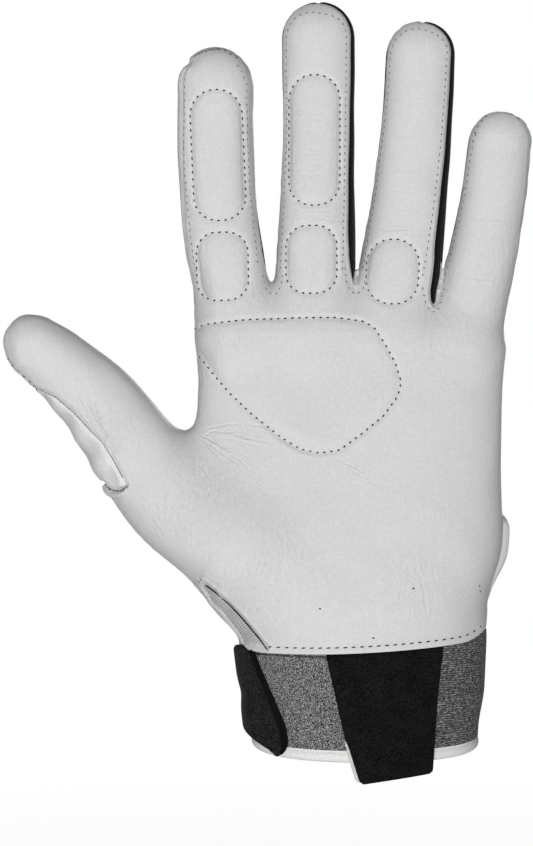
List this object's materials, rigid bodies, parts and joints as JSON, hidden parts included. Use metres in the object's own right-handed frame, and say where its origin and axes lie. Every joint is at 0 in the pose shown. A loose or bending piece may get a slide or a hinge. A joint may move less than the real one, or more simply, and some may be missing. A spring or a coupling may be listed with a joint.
{
  "type": "padded inner glove",
  "caption": "Left-hand padded inner glove for a catcher: leather palm with quilted pads, stretch fourchettes and back, elastic cuff, closure strap and pull tab.",
  "frame": {"origin": "centre of the wrist opening, level with its rim", "axes": "+Z from the wrist to the fingertips, +X to the little-finger side, -Y out of the palm"},
  "size_m": [0.1581, 0.0523, 0.2336],
  "materials": {
    "white_leather": "soft white goatskin, fine grain, satin",
    "black_stretch": "matt black four-way stretch knit",
    "grey_knit": "light grey ribbed knit",
    "grey_elastic": "dark grey woven elastic, fine ribs",
    "grey_loop": "mid grey loop pile, mottled",
    "black_strap": "black laminated strap fabric, low sheen",
    "white_binding": "white folded binding tape",
    "pale_lining": "pale felted lining",
    "grey_foam": "closed-cell foam, matt",
    "pale_backing": "thin pale lining cloth"
  },
  "bodies": {
    "glove": {"palm_panel": "white_leather", "index_side_panel": "white_leather", "little_side_panel": "white_leather", "thumb_back_panel": "white_leather", "thumb_flex_panel": "white_leather", "index_middle_fourchette": "black_stretch", "middle_ring_fourchette": "black_stretch", "ring_little_fourchette": "black_stretch", "back_panel": "black_stretch", "vent_gusset": "grey_knit", "index_tip_pad": "grey_foam", "index_tip_backing": "pale_backing", "index_base_pad": "grey_foam", "index_base_backing": "pale_backing", "middle_tip_pad": "grey_foam", "middle_tip_backing": "pale_backing", "middle_base_pad": "grey_foam", "middle_base_backing": "pale_backing", "ring_base_pad": "grey_foam", "ring_base_backing": "pale_backing", "palm_pad": "grey_foam", "palm_backing": "pale_backing", "cuff_band": "grey_elastic", "cuff_binding": "white_binding", "loop_patch": "grey_loop", "strap_base": "black_strap"},
    "strap": {"strap_wing": "black_strap"},
    "strap_end": {"strap_tip": "black_strap", "hook_patch": "black_strap"},
    "tab": {"pull_tab": "black_strap", "pull_tab_lining": "pale_lining"}
  },
  "joints": [
    {"name": "strap_swing", "type": "hinge", "parent": "glove", "child": "strap", "pos_m": [-0.02692, 0.01931, 0.01771], "axis": [0.1044, -0.0525, -0.9931], "range_deg": [0, 75]},
    {"name": "strap_tip_peel", "type": "hinge", "parent": "strap", "child": "strap_end", "pos_m": [-0.03907, -0.00676, 0.01651], "axis": [0.1178, 0.0155, -0.9929], "range_deg": [0, 80]},
    {"name": "pull_tab_lift", "type": "hinge", "parent": "glove", "child": "tab", "pos_m": [0.0057, -0.02675, 0.03004], "axis": [-0.9943, 0, -0.1063], "range_deg": [0, 120]}
  ]
}
